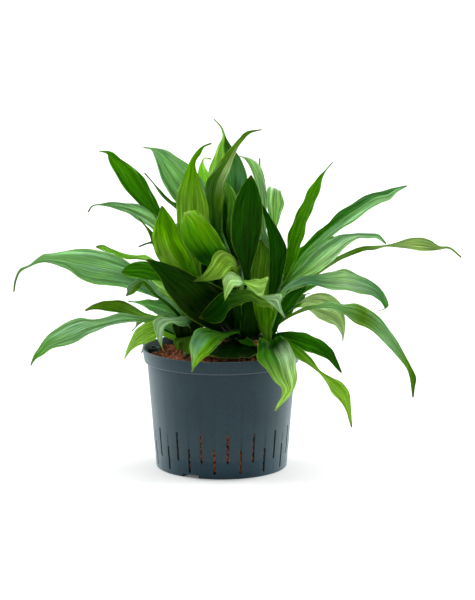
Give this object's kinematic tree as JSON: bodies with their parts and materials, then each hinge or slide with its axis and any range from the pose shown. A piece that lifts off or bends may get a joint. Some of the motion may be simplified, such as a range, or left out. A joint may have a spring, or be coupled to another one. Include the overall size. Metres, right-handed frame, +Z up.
{
  "type": "potted dracaena",
  "caption": "Leafy house plant with arching lance-shaped leaves on upright stems, standing in clay granules in a slotted plastic culture pot.",
  "frame": {"origin": "centre of the pot's flat underside", "axes": "+Z up along the pot's axis, -Y towards the side of the plant that the picture shows, +X to that view's right"},
  "size_m": [0.4265, 0.2482, 0.3271],
  "materials": {
    "pot_plastic": "satin blue-grey plastic",
    "clay": "matt red-brown fired clay",
    "leaf": "satin green leaf"
  },
  "bodies": {
    "root": {"pot": "pot_plastic", "substrate": "clay", "stem_left": "leaf", "stem_middle": "leaf", "stem_right": "leaf"}
  },
  "joints": []
}
